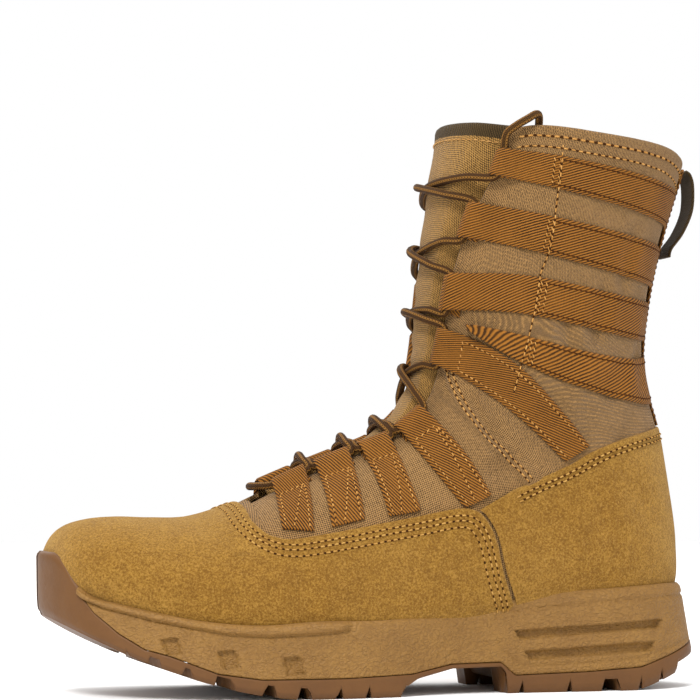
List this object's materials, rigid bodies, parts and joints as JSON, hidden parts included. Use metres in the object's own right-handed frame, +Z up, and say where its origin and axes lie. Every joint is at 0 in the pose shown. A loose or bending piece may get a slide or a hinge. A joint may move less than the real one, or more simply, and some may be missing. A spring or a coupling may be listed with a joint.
{
  "type": "combat boot",
  "caption": "Left eight-inch lace-up combat boot: hollow nylon and suede upper with webbing lace loops, tongue, pull loop and a lugged rubber and foam sole.",
  "frame": {"origin": "on the floor, at the middle of the flat spot under the heel", "axes": "+X towards the toe, +Y towards the lateral side (the wearer's left), +Z up"},
  "size_m": [0.3208, 0.1071, 0.2729],
  "materials": {
    "rubber": "moulded brown rubber, satin",
    "foam": "moulded brown foam, fine grain",
    "lining": "dark foot bed cloth",
    "nylon": "khaki woven nylon over foam and lining",
    "suede": "napped tan suede",
    "webbing": "ribbed twill webbing",
    "tape": "flat olive brown tape",
    "cord": "round braided cord",
    "metal": "nickelled brass"
  },
  "bodies": {
    "root": {"outsole": "rubber", "midsole": "foam", "insole": "lining", "upper": "nylon", "tongue": "nylon", "vamp": "suede", "heel_quarter": "suede", "backstay": "webbing", "pull_loop": "tape", "lateral_tier_1": "webbing", "lateral_tier_2": "webbing", "lateral_tier_3": "webbing", "lateral_tier_4": "webbing", "lateral_diagonal": "webbing", "lateral_tab_1": "webbing", "lateral_tab_2": "webbing", "lateral_tab_3": "webbing", "lateral_tab_4": "webbing", "medial_tier_1": "webbing", "medial_tier_2": "webbing", "medial_tier_3": "webbing", "medial_tier_4": "webbing", "medial_diagonal": "webbing", "medial_tab_1": "webbing", "medial_tab_2": "webbing", "medial_tab_3": "webbing", "medial_tab_4": "webbing", "vent_eyelet_rear": "metal", "vent_eyelet_front": "metal", "lace_crossing_1": "cord", "lace_crossing_2": "cord", "lace_crossing_3": "cord", "lace_crossing_4": "cord", "lace_crossing_5": "cord", "lace_crossing_6": "cord", "lace_crossing_7": "cord", "lace_bar": "cord", "lace_end_lateral": "cord", "lace_end_medial": "cord"}
  },
  "joints": []
}
